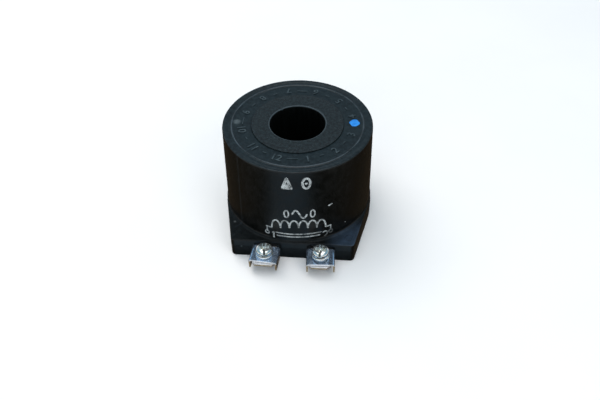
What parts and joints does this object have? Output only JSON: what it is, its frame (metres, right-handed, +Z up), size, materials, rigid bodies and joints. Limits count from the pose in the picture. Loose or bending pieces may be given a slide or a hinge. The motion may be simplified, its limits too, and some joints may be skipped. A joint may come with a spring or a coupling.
{
  "type": "solenoid coil",
  "caption": "Encapsulated alternating-current solenoid coil: round moulded body with a through bore, a tapered base and saddle-clamp screw terminals in front.",
  "frame": {"origin": "middle of the footprint's box on the resting face; the bore axis stands 4.3 mm behind it, at x 0, y 0.0043", "axes": "+Z up along the bore axis, -Y towards the screw terminals, +X to the right seen from the terminals"},
  "size_m": [0.052, 0.0604, 0.038],
  "materials": {
    "moulding": "satin black moulding compound",
    "bobbin_nylon": "glass-filled nylon, slightly rough",
    "copper_wire": "enamelled copper",
    "insulation_tape": "polyester film",
    "lead_sleeving": "varnished glass sleeving",
    "solder": "tin solder",
    "terminal_strip": "nickel-plated brass strip, bright",
    "clamp_steel": "nickel-plated steel, bright",
    "screw_steel": "nickel-plated steel, bright"
  },
  "bodies": {
    "coil_body": {"moulded_body": "moulding", "bobbin": "bobbin_nylon", "winding": "copper_wire", "winding_tape": "insulation_tape", "start_lead": "copper_wire", "finish_lead": "copper_wire", "start_lead_sleeve": "lead_sleeving", "finish_lead_sleeve": "lead_sleeving", "solder_joint_left": "solder", "solder_joint_right": "solder", "terminal_strip_left": "terminal_strip", "terminal_strip_right": "terminal_strip"},
    "clamp_left": {"saddle_clamp_left": "clamp_steel", "spring_washer_left": "screw_steel"},
    "screw_left": {"terminal_screw_left": "screw_steel"},
    "clamp_right": {"saddle_clamp_right": "clamp_steel", "spring_washer_right": "screw_steel"},
    "screw_right": {"terminal_screw_right": "screw_steel"}
  },
  "joints": [
    {"name": "clamp_left_lift", "type": "slide", "parent": "coil_body", "child": "clamp_left", "axis": [0, 0, 1], "range_m": [0, 0.002]},
    {"name": "screw_left_turn", "type": "hinge", "parent": "clamp_left", "child": "screw_left", "pos_m": [-0.00895, -0.02605, 0.0073], "axis": [0, 0, 1], "range_deg": [0, 1440]},
    {"name": "clamp_right_lift", "type": "slide", "parent": "coil_body", "child": "clamp_right", "axis": [0, 0, 1], "range_m": [0, 0.002]},
    {"name": "screw_right_turn", "type": "hinge", "parent": "clamp_right", "child": "screw_right", "pos_m": [0.00985, -0.02605, 0.0079], "axis": [0, 0, 1], "range_deg": [0, 1440]}
  ],
  "couplings": [
    {"joint": "screw_left_turn", "follows": "clamp_left_lift", "rad_per_m": 12566},
    {"joint": "screw_right_turn", "follows": "clamp_right_lift", "rad_per_m": 12566}
  ]
}
